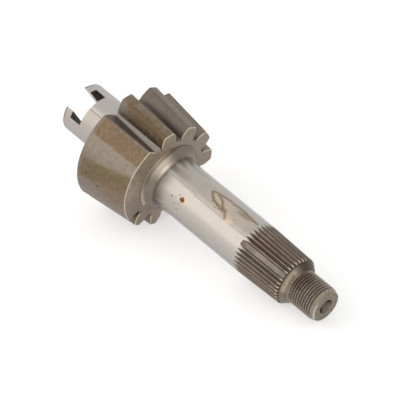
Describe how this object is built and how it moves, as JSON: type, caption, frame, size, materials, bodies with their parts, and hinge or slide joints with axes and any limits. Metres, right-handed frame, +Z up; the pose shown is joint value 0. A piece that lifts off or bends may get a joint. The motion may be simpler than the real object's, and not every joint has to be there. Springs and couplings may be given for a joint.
{
  "type": "steering sector shaft",
  "caption": "Solid steering sector shaft: tapered tooth sector between ground journals, serrated taper and threaded end, T-slot across the other end.",
  "frame": {"origin": "on the resting surface, under the middle of the bounding box", "axes": "+X towards the threaded end, which lies low, and +Z up; the shaft's axis leans from X by its resting tilt"},
  "size_m": [0.2318, 0.0852, 0.0855],
  "materials": {
    "forged_steel": "ground journals and dull, stained forged teeth"
  },
  "bodies": {
    "root": {"sector_shaft": "forged_steel"}
  },
  "joints": []
}
